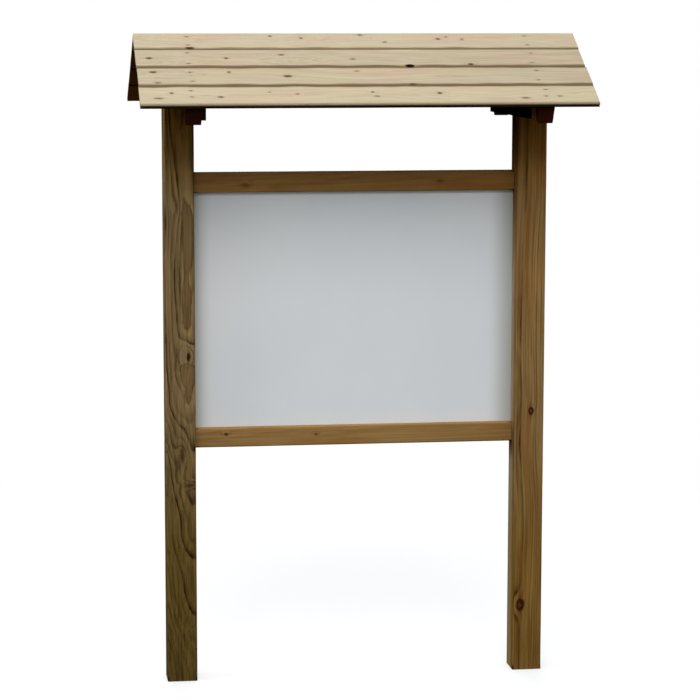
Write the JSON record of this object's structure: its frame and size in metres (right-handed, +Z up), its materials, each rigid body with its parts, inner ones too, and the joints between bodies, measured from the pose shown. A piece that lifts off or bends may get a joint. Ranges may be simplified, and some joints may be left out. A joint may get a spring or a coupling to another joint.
{
  "type": "roofed notice board",
  "caption": "Timber notice board: a flat pale panel held in grooves between posts and rails, sheltered by a small gable roof of V-jointed boards on rafters.",
  "frame": {"origin": "on the ground, midway between the posts", "axes": "+Z up, X along the board, the front of the panel faces -Y"},
  "size_m": [1.326, 0.7094, 1.9514],
  "materials": {
    "post_timber": "planed pressure-treated softwood, olive brown",
    "rail_timber": "planed pressure-treated softwood, warm brown",
    "roof_timber": "pale planed softwood with small knots",
    "rafter_timber": "dark treated softwood",
    "panel_sheet": "smooth matt pale grey sheet",
    "fixing_steel": "dull galvanised steel"
  },
  "bodies": {
    "root": {"left_post": "post_timber", "right_post": "post_timber", "top_rail": "rail_timber", "bottom_rail": "rail_timber", "notice_panel": "panel_sheet", "rail_screws": "fixing_steel", "rafter_screws": "fixing_steel", "left_tie_board": "rafter_timber", "left_front_rafter": "rafter_timber", "left_back_rafter": "rafter_timber", "right_tie_board": "rafter_timber", "right_front_rafter": "rafter_timber", "right_back_rafter": "rafter_timber", "front_roof_board_1": "roof_timber", "front_roof_board_2": "roof_timber", "front_roof_board_3": "roof_timber", "front_roof_board_4": "roof_timber", "back_roof_board_1": "roof_timber", "back_roof_board_2": "roof_timber", "back_roof_board_3": "roof_timber", "back_roof_board_4": "roof_timber"}
  },
  "joints": []
}
